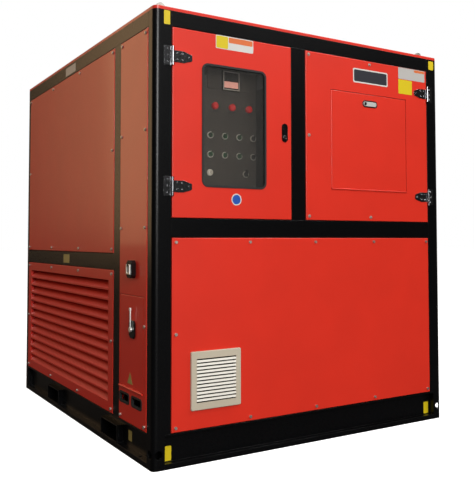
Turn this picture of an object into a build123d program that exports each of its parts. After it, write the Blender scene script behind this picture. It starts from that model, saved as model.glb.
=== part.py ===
from build123d import *
from math import atan, cos, radians, sin
import os

# Outdoor generator load bank: a welded frame on a fork-lift skid, folded sheet-metal panels,
# a control bay and two hinged doors at the front, louvred air intakes low on both sides,
# two axial fans on a deck and a stack of resistor trays that blow out through the roof.
# Millimetres, +Z up. The origin is on the floor in the middle of the footprint, the front
# faces -Y and the side with the cable connection door faces -X.

os.makedirs("parts", exist_ok=True)

# ---------------------------------------------------------------- driving dimensions
# Cabinet
cabinet_width = 1740
cabinet_length = 2020
roof_height = 2000
base_height = 148
roof_cap_height = 15

# Frame of rectangular tube
post_front = 84
post_side = 60
post_radius = 24
tube_depth = 50
tube_wall = 4
top_rail_height = 68
front_mid_rail_bottom = 991
front_mid_rail_height = 81
side_mid_rail_bottom = 837
side_mid_rail_height = 75
front_mullion_x = -99
front_mullion_width = 82
service_bay_length = 315
side_mullion_width = 75

# Skid base
corner_block_width = 58
corner_block_wall = 8
lashing_hole_diameter = 36
lashing_hole_height = 66
channel_depth = 60
channel_recess = 32
channel_web = 8
channel_foot = 24
channel_top = 8
anchor_hole_diameter = 18
anchor_hole_margin = 100
cross_member_width = 60
cross_member_wall = 5
cross_member_spacing = 780
fork_pocket_width = 200
fork_pocket_height = 72
fork_pocket_wall = 6
fork_pocket_pitch = 900
fork_pocket_shift = -55

# Folded panels and doors
sheet = 2
panel_depth = 20
panel_proud = 2
panel_gap = 3.5
fold_radius = 2.5
door_seal_gap = 1
floor_sheet = 3
bulkhead_sheet = 3
stop_land = 26
stop_thickness = 4

# Louvred air intakes
louvre_count = 12
louvre_side_margin = 60
louvre_top_margin = 50
louvre_bottom_margin = 40
blade_sheet = 2
blade_lip = 9
blade_depth = 44
blade_rise = 40
blade_end_clearance = 0.5

# Filter vent
vent_size = 255
vent_margin = 221
vent_z = 362
vent_proud = 11
vent_body = 223
vent_body_depth = 16
vent_slat_count = 13
vent_slat_pitch = 15.4
vent_slot_height = 6
vent_slot_width = 200
vent_radius = 8
vent_wall = 5

# Roof
roof_sheet = 3
roof_top_radius = 3
exhaust_side_margin = 130
exhaust_rear_margin = 150
exhaust_front_margin = 40
grille_bar_width = 8
grille_bar_height = 12
grille_bar_count = 22
lifting_eye_inset_x = 65
lifting_eye_inset_y = 80
lifting_eye_height = 40
lifting_eye_width = 46
lifting_eye_thickness = 12
lifting_eye_hole = 22
lifting_foot_length = 70
lifting_foot_width = 36
lifting_foot_thickness = 6

# Strap hinges of the two front doors
hinge_heights = (1784, 1212)
hinge_half_height = 42
hinge_barrel_radius = 6
hinge_pin_radius = 3.5
hinge_pin_clearance = 0.05
hinge_side_gap = 0.5
hinge_face_gap = 1
hinge_plate = 3
leaf_reach = 38
strap_half_root = 26
strap_half_tip = 13
strap_kink = 56
strap_reach = 98
strap_tip_radius = 6

# Window of the control door
window_width = 335
window_height = 548
window_radius = 26
window_lap = 10
window_thickness = 4
seal_lip = 6
seal_height = 2.5
seal_neck = 4

# Control bay behind the window
bay_width = 356
bay_height = 572
bay_depth = 95
bay_sheet = 2
fascia_thickness = 3
meter_size = 96
meter_bezel = 10
meter_edge = 2
meter_screen = 86
meter_body = 90
meter_body_depth = 60
fascia_shift = 40
meter_shift = -7
meter_rise = 237
blank_width = 68
blank_height = 90
blank_thickness = 4
blank_shifts = (-97, 78)
lamp_pitch = 94
lamp_rise = 111
lamp_radius = 17
lamp_height = 17
lamp_edge = 6
lamp_body_radius = 11
lamp_body_depth = 40
switch_pitch = 79
switch_row_rise = (-28, -118)
bottom_row_rise = -203
key_shift = -120
mode_shift = 76
bezel_radius = 15
bezel_inner_radius = 12.7
bezel_floor = 2
bezel_height = 7
switch_body_radius = 11
switch_body_depth = 40
knob_radius = 12.2
knob_height = 6
knob_grip_width = 8
knob_grip_height = 11
knob_grip_length = 23
mode_grip_length = 34
mode_grip_shift = 5
key_thickness = 2.4
key_blade_width = 8
key_blade_length = 14
key_bow_radius = 9
stem_radius = 4
stem_length = 20
running_clearance = 0.05
end_float = 0.5

# Flush paddle latches
door_latch_margin = 43
door_latch_z = 1492
door_latch_length = 90
door_latch_width = 34
hatch_latch_z = 1687
hatch_latch_length = 102
hatch_latch_width = 36
latch_flange = 3
latch_body_inset = 2.5
latch_body_depth = 15
pocket_inset = 5
pocket_depth = 12
paddle_gap = 1.5
paddle_thickness = 4
paddle_pivot_depth = 2.5
pivot_radius = 1.2
door_pivot_reach = 14
hatch_pivot_rise = 7
hatch_pivot_reach = 46

# Access door hatch
hatch_width = 516
hatch_bottom = 1238
hatch_top = 1736

# Cable connection door on the narrow side panel
connection_front_margin = 34
connection_rear_margin = 12
connection_bottom = 310
connection_top = 727
port_width = 106
port_height = 42
port_radius = 10
port_z = 257
port_front_margins = (106, 245)
port_bush_wall = 4
port_bush_lip = 5
port_bush_lip_height = 2
port_bush_depth = 10

# Piano hinges of the two drop-down flaps
hatch_barrel_radius = 3
hatch_hinge_pin = 1.5
connection_barrel_radius = 4.5
connection_hinge_pin = 2.2
flap_edge_gap = 3
flap_gap = 2.5
flap_depth = 15
flap_land = 12
hinge_sink = 0.5
knuckle_count = 7
knuckle_gap = 0.5

# Side latches
side_latch_margin = 150
latch_base_width = 60
latch_base_height = 80
latch_base_chamfer = 12
latch_base_edge = 2
service_latch_z = 847
service_base_depth = 22
ring_height = 44
ring_width = 40
ring_thickness = 5
ring_bar = 7
ring_gap = 0.5
ring_lug_width = 12
ring_lug_height = 10
ring_lug_wall = 2
connection_latch_z = 577
connection_base_depth = 8
lever_boss_radius = 11
lever_boss_height = 9
lever_rod_radius = 4
lever_reach = 91
lever_knob_radius = 6.5
lever_knob_edge = 2
lever_spindle_radius = 4

# Fans
fan_x = 405
fan_y = 176
fan_radius = 348
fan_tip_clearance = 8
fan_ring_wall = 3
fan_ring_height = 150
fan_deck_height = 867
fan_deck_sheet = 4
fan_blade_count = 7
hub_radius = 85
hub_height = 90
hub_edge_radius = 12
blade_root_chord = 120
blade_tip_chord = 175
blade_root_pitch = 48
blade_root_radius = 75
blade_mid_radius = 210
blade_mid_chord = 148
blade_mid_pitch = 33
blade_tip_pitch = 24
fan_blade_thickness = 5
motor_radius = 95
motor_height = 190
motor_arm_width = 40
motor_arm_thickness = 10
motor_arm_count = 4
shaft_radius = 14
shaft_engagement = 50
hub_float = 6

# Resistor trays
tray_count = 4
tray_pitch = 225
tray_rise = 94
tray_clearance = 70
tray_rail_width = 25
tray_rail_height = 25
tray_leg_width = 30
ribbon_count = 5
ribbon_folds = 14
ribbon_amplitude = 105
ribbon_thickness = 3
ribbon_height = 60

# Switchgear and load terminals
contactor_width = 90
contactor_height = 110
contactor_depth = 80
contactor_nose = 30
contactor_nose_width = 54
contactor_nose_height = 60
contactor_columns = 8
contactor_rows = (1290, 1560)
contactor_pitch = 170
bracket_x = 110
bracket_bottom = 370
bracket_top = 700
bracket_thickness = 6
busbar_count = 4
busbar_width = 40
busbar_thickness = 8
busbar_height = 230
busbar_pitch = 62
busbar_hole = 13

# Panel screws
screw_across = 13
screw_height = 6
screw_edge = 19

# ---------------------------------------------------------------- planes and openings
half_width = cabinet_width / 2
half_length = cabinet_length / 2
frame_top = roof_height - roof_cap_height
rail_bottom = frame_top - top_rail_height
front_mid_top = front_mid_rail_bottom + front_mid_rail_height
side_mid_top = side_mid_rail_bottom + side_mid_rail_height
inner_x = half_width - post_front
inner_y = half_length - post_side
mullion_left = front_mullion_x - front_mullion_width / 2
mullion_right = front_mullion_x + front_mullion_width / 2
side_mullion_y = -inner_y + service_bay_length + side_mullion_width / 2
mullion_front = side_mullion_y - side_mullion_width / 2
mullion_rear = side_mullion_y + side_mullion_width / 2
door_depth = panel_depth - door_seal_gap

# Each face plane looks outwards, with its second direction up. On the left face the first
# direction runs towards the front, so a place there is minus Y.
front_face = Plane(origin=(0, -half_length, 0), x_dir=(1, 0, 0), z_dir=(0, -1, 0))
rear_face = Plane(origin=(0, half_length, 0), x_dir=(-1, 0, 0), z_dir=(0, 1, 0))
left_face = Plane(origin=(-half_width, 0, 0), x_dir=(0, -1, 0), z_dir=(-1, 0, 0))

# Openings of the frame, as (left, bottom, right, top) on their face plane
control_opening = (-inner_x, front_mid_top, mullion_left, rail_bottom)
access_opening = (mullion_right, front_mid_top, inner_x, rail_bottom)
lower_opening = (-inner_x, base_height, inner_x, front_mid_rail_bottom)
rear_upper_opening = (-inner_x, front_mid_top, inner_x, rail_bottom)
louvre_opening = (-inner_y, base_height, -mullion_rear, side_mid_rail_bottom)
side_upper_opening = (-inner_y, side_mid_top, -mullion_rear, rail_bottom)
service_opening = (-mullion_front, base_height, inner_y, rail_bottom)


def inset(region, gap):
    """The region made smaller by one gap on all four sides."""
    return (region[0] + gap, region[1] + gap, region[2] - gap, region[3] - gap)


def middle(region):
    return ((region[0] + region[2]) / 2, (region[1] + region[3]) / 2)


def slab(plane, region, height):
    """A rectangular block on a plane: the region, raised along the plane's normal."""
    with BuildPart() as block:
        with BuildSketch(plane):
            with Locations(middle(region)):
                Rectangle(region[2] - region[0], region[3] - region[1])
        extrude(amount=height)
    return block.part


def tube(plane, region, height, wall):
    """A rectangular tube along the plane's normal."""
    with BuildPart() as hollow:
        add(slab(plane, region, height))
        add(slab(plane, inset(region, wall), height), mode=Mode.SUBTRACT)
    return hollow.part


def pan(face, region, depth):
    """A folded sheet-metal pan: flat outside, with its four edges turned inwards."""
    outside = face.offset(panel_proud)
    with BuildPart() as folded:
        add(slab(outside, region, -depth))
        fillet(folded.faces().sort_by(Axis(face.origin, face.z_dir))[-1].edges(), fold_radius)
        add(slab(outside.offset(-sheet), inset(region, sheet), sheet - depth), mode=Mode.SUBTRACT)
    return folded.part


def write(part, name):
    part.label = name
    export_step(part, f"parts/{name}.step")


# ---------------------------------------------------------------- skid base
web_outside = half_width - channel_recess
web_inside = web_outside - channel_web
channel_inside = half_width - channel_depth
pocket_half = fork_pocket_width / 2 + fork_pocket_wall
pocket_top = channel_foot + fork_pocket_height + 2 * fork_pocket_wall
pocket_centres = [fork_pocket_shift + side * fork_pocket_pitch / 2 for side in (-1, 1)]


def channel(plane, outside, length):
    """An outward-facing channel: a thick foot, a recessed web and a top flange."""
    inside = outside - channel_depth
    web = outside - channel_recess
    with BuildPart() as rail:
        with BuildSketch(plane):
            for left, low, right, high in (
                (inside, 0, outside, channel_foot),
                (web - channel_web, channel_foot, web, base_height - channel_top),
                (inside, base_height - channel_top, outside, base_height),
            ):
                with Locations(middle((left, low, right, high))):
                    Rectangle(right - left, high - low)
        extrude(amount=length)
    return rail.part


# Side rails, cut for the fork pockets and bored for anchor bolts
anchor_hole_y = inner_y - anchor_hole_margin
rail_end = Plane(origin=(0, inner_y, 0), x_dir=(-1, 0, 0), z_dir=(0, 1, 0))
with BuildPart() as base_side_rails:
    add(channel(rail_end, half_width, -2 * inner_y))
    for centre in pocket_centres:
        web_cut = (-centre - pocket_half, channel_foot, -centre + pocket_half, pocket_top)
        add(slab(left_face.offset(-channel_recess), web_cut, -channel_web), mode=Mode.SUBTRACT)
    with Locations(*[(-half_width + channel_recess / 2, side * anchor_hole_y, 0) for side in (-1, 1)]):
        Cylinder(anchor_hole_diameter / 2, 2 * channel_foot + 1, mode=Mode.SUBTRACT)
    mirror(about=Plane.YZ)
write(base_side_rails.part, "base_side_rails")

# Front and rear rails between the corner blocks, and three cross members on the floor
block_inside = half_width - corner_block_width
with BuildPart() as base_cross_rails:
    cross_end = Plane(origin=(block_inside, 0, 0), x_dir=(0, 1, 0), z_dir=(1, 0, 0))
    add(channel(cross_end, half_length, -2 * block_inside))
    mirror(about=Plane.XZ)
    for place in (-cross_member_spacing, 0, cross_member_spacing):
        member = (
            place - cross_member_width / 2,
            0,
            place + cross_member_width / 2,
            base_height - channel_top,
        )
        add(tube(Plane.YZ.offset(-channel_inside), member, 2 * channel_inside, cross_member_wall))
write(base_cross_rails.part, "base_cross_rails")

# Fork-lift pockets: two tubes right across the skid, flush with both side faces
with BuildPart() as fork_pocket_tubes:
    for centre in pocket_centres:
        mouth = (-centre - pocket_half, channel_foot, -centre + pocket_half, pocket_top)
        add(tube(left_face, mouth, -cabinet_width, fork_pocket_wall))
write(fork_pocket_tubes.part, "fork_pocket_tubes")

floor_x = half_width - tube_depth
with BuildPart() as floor_plate:
    add(slab(Plane.XY.offset(base_height), (-floor_x, -inner_y, floor_x, inner_y), floor_sheet))
write(floor_plate.part, "floor_plate")

# ---------------------------------------------------------------- frame
corner_region = (-half_width, -half_length, -inner_x, -inner_y)
block_region = (-half_width, -half_length, -block_inside, -inner_y)


def corner_tube(height, region, length, wall):
    """A tube with its outer vertical edge rounded to the cabinet's corner radius."""
    with BuildPart() as corner:
        with BuildSketch(Plane.XY.offset(height)) as outline:
            with Locations(middle(region)):
                Rectangle(region[2] - region[0], region[3] - region[1])
            fillet(outline.vertices().group_by(Axis.X)[0].sort_by(Axis.Y)[0], post_radius)
        extrude(amount=length)
        with BuildSketch(Plane.XY.offset(height)) as inside:
            bore = inset(region, wall)
            with Locations(middle(bore)):
                Rectangle(bore[2] - bore[0], bore[3] - bore[1])
            fillet(inside.vertices().group_by(Axis.X)[0].sort_by(Axis.Y)[0], post_radius - wall)
        extrude(amount=length, mode=Mode.SUBTRACT)
    return corner.part


# Corner posts on their lashing blocks, with the side and front mullions
with BuildPart() as frame_posts:
    add(corner_tube(base_height, corner_region, frame_top - base_height, tube_wall))
    add(corner_tube(0, block_region, base_height, corner_block_wall))
    with Locations((*middle(block_region), lashing_hole_height)):
        for turn in ((0, -90, 0), (90, 0, 0)):
            Cylinder(
                lashing_hole_diameter / 2,
                corner_block_width,
                rotation=turn,
                align=(Align.CENTER, Align.CENTER, Align.MIN),
                mode=Mode.SUBTRACT,
            )
    mirror(about=Plane.XZ)
    side_mullion = (-half_width, mullion_front, -floor_x, mullion_rear)
    add(tube(Plane.XY.offset(base_height), side_mullion, rail_bottom - base_height, tube_wall))
    mirror(about=Plane.YZ)
    front_mullion = (mullion_left, -half_length, mullion_right, -half_length + tube_depth)
    add(tube(Plane.XY.offset(front_mid_top), front_mullion, rail_bottom - front_mid_top, tube_wall))
write(frame_posts.part, "frame_posts")

# Top rails all round, and the mid rails below the upper panels
with BuildPart() as frame_rails:
    end_plane = Plane.YZ.offset(-inner_x)
    front_depth = (-half_length, -half_length + tube_depth)
    add(tube(end_plane, (front_depth[0], rail_bottom, front_depth[1], frame_top), 2 * inner_x, tube_wall))
    add(
        tube(
            end_plane,
            (front_depth[0], front_mid_rail_bottom, front_depth[1], front_mid_top),
            2 * inner_x,
            tube_wall,
        )
    )
    mirror(about=Plane.XZ)
    rear_end = Plane(origin=(0, inner_y, 0), x_dir=(1, 0, 0), z_dir=(0, -1, 0))
    add(tube(rear_end, (-half_width, rail_bottom, -floor_x, frame_top), 2 * inner_y, tube_wall))
    side_rail = (-half_width, side_mid_rail_bottom, -floor_x, side_mid_top)
    add(tube(rear_end, side_rail, inner_y - mullion_rear, tube_wall))
    mirror(about=Plane.YZ)
write(frame_rails.part, "frame_rails")


def stop_ring(face, region):
    """A flat ring inside an opening, which the panel's folded edge rests on."""
    seat = face.offset(panel_proud - panel_depth)
    with BuildPart() as ring:
        add(slab(seat, region, -stop_thickness))
        add(slab(seat, inset(region, stop_land), -stop_thickness), mode=Mode.SUBTRACT)
    return ring.part


with BuildPart() as panel_stops:
    for opening in (louvre_opening, side_upper_opening, service_opening):
        add(stop_ring(left_face, opening))
    mirror(about=Plane.YZ)
    for opening in (control_opening, access_opening, lower_opening):
        add(stop_ring(front_face, opening))
    for opening in (rear_upper_opening, lower_opening):
        add(stop_ring(rear_face, opening))
write(panel_stops.part, "panel_stops")

# ---------------------------------------------------------------- roof
roof_region = (-half_width, -half_length, half_width, half_length)
bulkhead_y = side_mullion_y
exhaust_region = (
    -half_width + exhaust_side_margin,
    bulkhead_y + exhaust_front_margin,
    half_width - exhaust_side_margin,
    half_length - exhaust_rear_margin,
)

# A shallow lid with a turned-down edge, open over the resistor chamber
with BuildPart() as roof_cap:
    with BuildSketch(Plane.XY.offset(frame_top)):
        RectangleRounded(cabinet_width, cabinet_length, post_radius)
    extrude(amount=roof_cap_height)
    fillet(roof_cap.faces().sort_by(Axis.Z)[-1].edges(), roof_top_radius)
    with BuildSketch(Plane.XY.offset(frame_top)):
        RectangleRounded(
            cabinet_width - 2 * roof_sheet, cabinet_length - 2 * roof_sheet, post_radius - roof_sheet
        )
    extrude(amount=roof_cap_height - roof_sheet, mode=Mode.SUBTRACT)
    add(slab(Plane.XY.offset(frame_top), exhaust_region, roof_cap_height), mode=Mode.SUBTRACT)
write(roof_cap.part, "roof_cap")

# Exhaust grille: bars across the opening, hung from a rim under the roof sheet
grille_top = roof_height - roof_sheet
with BuildPart() as exhaust_grille:
    rim = inset(exhaust_region, -grille_bar_height)
    add(slab(Plane.XY.offset(grille_top), rim, -grille_bar_height))
    add(slab(Plane.XY.offset(grille_top), exhaust_region, -grille_bar_height), mode=Mode.SUBTRACT)
    bar_step = (exhaust_region[3] - exhaust_region[1]) / (grille_bar_count + 1)
    for bar in range(1, grille_bar_count + 1):
        place = exhaust_region[1] + bar * bar_step
        bar_low = place - grille_bar_width / 2
        bar_region = (exhaust_region[0], bar_low, exhaust_region[2], bar_low + grille_bar_width)
        add(slab(Plane.XY.offset(grille_top), bar_region, -grille_bar_height))
write(exhaust_grille.part, "exhaust_grille")

# Lifting eyes: a rounded plate with a shackle hole on a bolted foot, one near each corner
eye_x = half_width - lifting_eye_inset_x
eye_y = half_length - lifting_eye_inset_y
with BuildPart() as lifting_eyes:
    with BuildSketch(Plane.XZ.offset(eye_y - lifting_eye_thickness / 2)):
        with Locations((-eye_x, roof_height + lifting_foot_thickness)):
            Rectangle(
                lifting_eye_width,
                lifting_eye_height - lifting_foot_thickness - lifting_eye_width / 2,
                align=(Align.CENTER, Align.MIN),
            )
        with Locations((-eye_x, roof_height + lifting_eye_height - lifting_eye_width / 2)):
            Circle(lifting_eye_width / 2)
            Circle(lifting_eye_hole / 2, mode=Mode.SUBTRACT)
        with Locations((-eye_x, roof_height)):
            Rectangle(
                lifting_eye_width,
                lifting_eye_width,
                align=(Align.CENTER, Align.MAX),
                mode=Mode.SUBTRACT,
            )
    extrude(amount=lifting_eye_thickness)
    foot_region = (
        -eye_x - lifting_foot_length / 2,
        -eye_y - lifting_foot_width / 2,
        -eye_x + lifting_foot_length / 2,
        -eye_y + lifting_foot_width / 2,
    )
    add(slab(Plane.XY.offset(roof_height), foot_region, lifting_foot_thickness))
    mirror(about=Plane.XZ)
    mirror(about=Plane.YZ)
write(lifting_eyes.part, "lifting_eyes")

# ---------------------------------------------------------------- fixed panels
vent_x = -inner_x + vent_margin
lower_panel_region = inset(lower_opening, panel_gap)
with BuildPart() as lower_front_panel:
    add(pan(front_face, lower_panel_region, panel_depth))
    with BuildSketch(front_face.offset(panel_proud)):
        with Locations((vent_x, vent_z)):
            Rectangle(vent_body, vent_body)
    extrude(amount=-sheet, mode=Mode.SUBTRACT)
write(lower_front_panel.part, "lower_front_panel")

# Moulded filter vent: a raised frame round thirteen slots, on a body through the panel
with BuildPart() as vent_grille:
    vent_seat = front_face.offset(panel_proud)
    with BuildSketch(vent_seat):
        with Locations((vent_x, vent_z)):
            RectangleRounded(vent_size, vent_size, vent_radius)
    extrude(amount=vent_proud)
    chamfer(vent_grille.faces().sort_by(Axis.Y)[0].edges(), vent_wall / 2)
    with BuildSketch(vent_seat):
        with Locations((vent_x, vent_z)):
            Rectangle(vent_body, vent_body)
    extrude(amount=-vent_body_depth)
    with BuildSketch(vent_seat.offset(-vent_body_depth)):
        with Locations((vent_x, vent_z)):
            Rectangle(vent_body - 2 * vent_wall, vent_body - 2 * vent_wall)
    extrude(amount=vent_body_depth + vent_wall, mode=Mode.SUBTRACT)
    with BuildSketch(vent_seat):
        with Locations((vent_x, vent_z)):
            with GridLocations(0, vent_slat_pitch, 1, vent_slat_count):
                Rectangle(vent_slot_width, vent_slot_height)
    extrude(amount=vent_proud, mode=Mode.SUBTRACT)
write(vent_grille.part, "vent_grille")

# Plain side panels: the two upper ones, and the narrow one on the right
side_upper_region = inset(side_upper_opening, panel_gap)
narrow_region = inset(service_opening, panel_gap)
with BuildPart() as side_panels:
    add(pan(left_face, side_upper_region, panel_depth))
    mirror(about=Plane.YZ)
    right_narrow = mirror(pan(left_face, narrow_region, panel_depth), about=Plane.YZ, mode=Mode.PRIVATE)
    add(right_narrow)
write(side_panels.part, "side_panels")

rear_upper_region = inset(rear_upper_opening, panel_gap)
with BuildPart() as rear_panels:
    add(pan(rear_face, rear_upper_region, panel_depth))
    add(pan(rear_face, lower_panel_region, panel_depth))
write(rear_panels.part, "rear_panels")

# ---------------------------------------------------------------- louvred intakes
louvre_region = inset(louvre_opening, panel_gap)
louvre_field = (
    louvre_region[0] + louvre_side_margin,
    louvre_region[1] + louvre_bottom_margin,
    louvre_region[2] - louvre_side_margin,
    louvre_region[3] - louvre_top_margin,
)
louvre_pitch = (louvre_field[3] - louvre_field[1]) / louvre_count

with BuildPart() as louvre_panels:
    add(pan(left_face, louvre_region, panel_depth))
    add(slab(left_face.offset(panel_proud), louvre_field, -sheet), mode=Mode.SUBTRACT)
    mirror(about=Plane.YZ)
write(louvre_panels.part, "louvre_panels")

# Rain-shedding blades: an upright lip at the panel face, then a slope that rises inwards
blade_outside = -half_width - panel_proud
blade_slope = blade_rise / blade_depth
upright_thickness = blade_sheet / cos(atan(blade_slope))
lip_underside = blade_lip + blade_slope * blade_sheet - upright_thickness
blade_section = (
    (blade_outside, 0),
    (blade_outside, blade_lip),
    (blade_outside + blade_depth, blade_lip + blade_rise),
    (blade_outside + blade_depth, blade_lip + blade_rise - upright_thickness),
    (blade_outside + blade_sheet, lip_underside),
    (blade_outside + blade_sheet, 0),
)
blade_start = Plane(
    origin=(0, -louvre_field[0] - blade_end_clearance, 0), x_dir=(1, 0, 0), z_dir=(0, -1, 0)
)
with BuildPart() as louvre_blades:
    with BuildSketch(blade_start):
        with Locations(*[(0, louvre_field[1] + row * louvre_pitch) for row in range(louvre_count)]):
            Polygon(*blade_section, align=None)
    extrude(amount=louvre_field[2] - louvre_field[0] - 2 * blade_end_clearance)
    # Upright carriers behind the sheet join the blades at both ends
    for end in (louvre_field[0], louvre_field[2] - stop_thickness):
        carrier = (end, louvre_field[1], end + stop_thickness, louvre_field[3])
        add(slab(left_face.offset(panel_proud - sheet), carrier, -(blade_depth - sheet)))
    mirror(about=Plane.YZ)
write(louvre_blades.part, "louvre_blades")

# ---------------------------------------------------------------- bulkhead and fan deck
floor_top = base_height + floor_sheet
bulkhead_front = bulkhead_y - bulkhead_sheet
bracket_outside = -half_width + bracket_x
bracket_front = -inner_y + connection_front_margin
with BuildPart() as bulkhead:
    across = Plane(origin=(0, bulkhead_y, 0), x_dir=(1, 0, 0), z_dir=(0, -1, 0))
    add(slab(across, (-floor_x, floor_top, floor_x, frame_top), bulkhead_sheet))
    # A bracket behind the connection door carries the load terminals
    bracket = (bracket_outside, bracket_bottom, bracket_outside + bracket_thickness, bracket_top)
    add(slab(across, bracket, bulkhead_y - bracket_front))
write(bulkhead.part, "bulkhead")

fan_centres = [(-fan_x, fan_y), (fan_x, fan_y)]
ring_inside = fan_radius + fan_tip_clearance
ring_outside = ring_inside + fan_ring_wall
deck_top = fan_deck_height + fan_deck_sheet
ring_bottom = deck_top - fan_ring_height
with BuildPart() as fan_deck:
    add(slab(Plane.XY.offset(fan_deck_height), (-floor_x, bulkhead_y, floor_x, inner_y), fan_deck_sheet))
    with BuildSketch(Plane.XY.offset(ring_bottom)):
        with Locations(*fan_centres):
            Circle(ring_outside)
    extrude(amount=fan_ring_height)
    with BuildSketch(Plane.XY.offset(ring_bottom)):
        with Locations(*fan_centres):
            Circle(ring_inside)
    extrude(amount=fan_ring_height, mode=Mode.SUBTRACT)
write(fan_deck.part, "fan_deck")

# Motors, each hung on four arms under the bottom edge of its fan ring
arm_top = ring_bottom + motor_arm_thickness
with BuildPart() as fan_motor:
    with BuildSketch(Plane.XY.offset(ring_bottom)):
        with PolarLocations(0, motor_arm_count):
            Rectangle(ring_outside, motor_arm_width, align=(Align.MIN, Align.CENTER))
        Circle(ring_inside, mode=Mode.INTERSECT)
    extrude(amount=motor_arm_thickness)
    with Locations((0, 0, arm_top)):
        Cylinder(motor_radius, motor_height, align=(Align.CENTER, Align.CENTER, Align.MAX))
        Cylinder(
            shaft_radius + running_clearance,
            shaft_engagement + end_float,
            align=(Align.CENTER, Align.CENTER, Align.MAX),
            mode=Mode.SUBTRACT,
        )
with BuildPart() as fan_motors:
    with Locations(*fan_centres):
        add(fan_motor.part)
write(fan_motors.part, "fan_motors")

# Rotors: a rounded hub with twisted sheet blades that widen to the tip, and its own shaft
hub_bottom = arm_top + hub_float
blade_height = hub_bottom + hub_height / 2
blade_stations = (
    (blade_root_radius, blade_root_chord, blade_root_pitch),
    (blade_mid_radius, blade_mid_chord, blade_mid_pitch),
    (ring_outside, blade_tip_chord, blade_tip_pitch),
)
with BuildPart() as fan_blade:
    for radius, chord, pitch in blade_stations:
        chord_line = (0, cos(radians(pitch)), sin(radians(pitch)))
        with BuildSketch(Plane(origin=(radius, 0, blade_height), x_dir=chord_line, z_dir=(1, 0, 0))):
            Rectangle(chord, fan_blade_thickness)
    loft(ruled=True)
    with Locations((0, 0, blade_height)):
        Cylinder(fan_radius, 2 * blade_tip_chord, mode=Mode.INTERSECT)

with BuildPart() as fan_rotor:
    with Locations((0, 0, hub_bottom)):
        Cylinder(hub_radius, hub_height, align=(Align.CENTER, Align.CENTER, Align.MIN))
    fillet(fan_rotor.faces().sort_by(Axis.Z)[-1].edges(), hub_edge_radius)
    with PolarLocations(0, fan_blade_count):
        add(fan_blade.part)
    with Locations((0, 0, hub_bottom)):
        Cylinder(
            shaft_radius, hub_float + shaft_engagement, align=(Align.CENTER, Align.CENTER, Align.MAX)
        )

for name, centre in zip(("fan_rotor_left", "fan_rotor_right"), fan_centres):
    with BuildPart() as placed_rotor:
        with Locations(centre):
            add(fan_rotor.part)
    write(placed_rotor.part, name)

# ---------------------------------------------------------------- resistor chamber
chamber_width = 2 * (floor_x - tray_clearance)
chamber_length = inner_y - bulkhead_y - 2 * tray_clearance
chamber_centre = (0, (inner_y + bulkhead_y) / 2)
tray_heights = [deck_top + tray_rise + tray * tray_pitch for tray in range(tray_count)]
rack_top = tray_heights[-1] + tray_rail_height + ribbon_height

# Rack: four legs on the fan deck carry a rail frame with two cross bars for every tray
with BuildPart() as resistor_trays:
    with BuildSketch(Plane.XY.offset(deck_top)):
        with Locations(chamber_centre):
            with GridLocations(chamber_width - tray_leg_width, chamber_length - tray_leg_width, 2, 2):
                Rectangle(tray_leg_width, tray_leg_width)
    extrude(amount=rack_top - deck_top)
    for height in tray_heights:
        with BuildSketch(Plane.XY.offset(height)):
            with Locations(chamber_centre):
                with GridLocations(chamber_width - tray_rail_width, 0, 2, 1):
                    Rectangle(tray_rail_width, chamber_length)
                with GridLocations(0, chamber_length - tray_rail_width, 1, 2):
                    Rectangle(chamber_width, tray_rail_width)
                with GridLocations(0, chamber_length / 2, 1, 2):
                    Rectangle(chamber_width, tray_rail_width)
        extrude(amount=tray_rail_height)
write(resistor_trays.part, "resistor_trays")

# Resistor elements: folded ribbons standing on edge on the cross bars of each tray
ribbon_pitch = (chamber_width - 2 * tray_leg_width) / ribbon_count
fold_step = (chamber_length - 4 * tray_leg_width) / ribbon_folds
folds = [
    ((-1) ** fold * ribbon_amplitude / 2, (fold - ribbon_folds / 2) * fold_step)
    for fold in range(ribbon_folds + 1)
]
folds_back = [(x + ribbon_thickness, y) for x, y in reversed(folds)]
with BuildPart() as resistor_elements:
    for height in tray_heights:
        with BuildSketch(Plane.XY.offset(height + tray_rail_height)):
            with Locations(chamber_centre):
                with GridLocations(ribbon_pitch, 0, ribbon_count, 1):
                    Polygon(*folds, *folds_back, align=None)
        extrude(amount=ribbon_height)
write(resistor_elements.part, "resistor_elements")

# ---------------------------------------------------------------- switchgear and load terminals
# Contactors in two rows on the front of the bulkhead, each a block with a raised nose
wiring_wall = Plane(origin=(0, bulkhead_front, 0), x_dir=(1, 0, 0), z_dir=(0, -1, 0))
contactor_grid = (
    contactor_pitch,
    contactor_rows[1] - contactor_rows[0],
    contactor_columns,
    len(contactor_rows),
)
contactor_middle = (0, (contactor_rows[0] + contactor_rows[1]) / 2)
with BuildPart() as contactors:
    with BuildSketch(wiring_wall):
        with Locations(contactor_middle):
            with GridLocations(*contactor_grid):
                Rectangle(contactor_width, contactor_height)
    extrude(amount=contactor_depth)
    with BuildSketch(wiring_wall.offset(contactor_depth)):
        with Locations(contactor_middle):
            with GridLocations(*contactor_grid):
                Rectangle(contactor_nose_width, contactor_nose_height)
    extrude(amount=contactor_nose)
write(contactors.part, "contactors")

# Copper bars on the bracket, each with a bolt hole for a cable lug at its lower end
terminal_board = left_face.offset(-bracket_x)
bar_row = (-(bracket_front + bulkhead_front) / 2, (bracket_bottom + bracket_top) / 2)
with BuildPart() as load_busbars:
    with BuildSketch(terminal_board):
        with Locations(bar_row):
            with GridLocations(busbar_pitch, 0, busbar_count, 1):
                Rectangle(busbar_width, busbar_height)
        with Locations((bar_row[0], bar_row[1] - busbar_height / 2 + busbar_width / 2)):
            with GridLocations(busbar_pitch, 0, busbar_count, 1):
                Circle(busbar_hole / 2, mode=Mode.SUBTRACT)
    extrude(amount=busbar_thickness)
write(load_busbars.part, "load_busbars")


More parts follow.
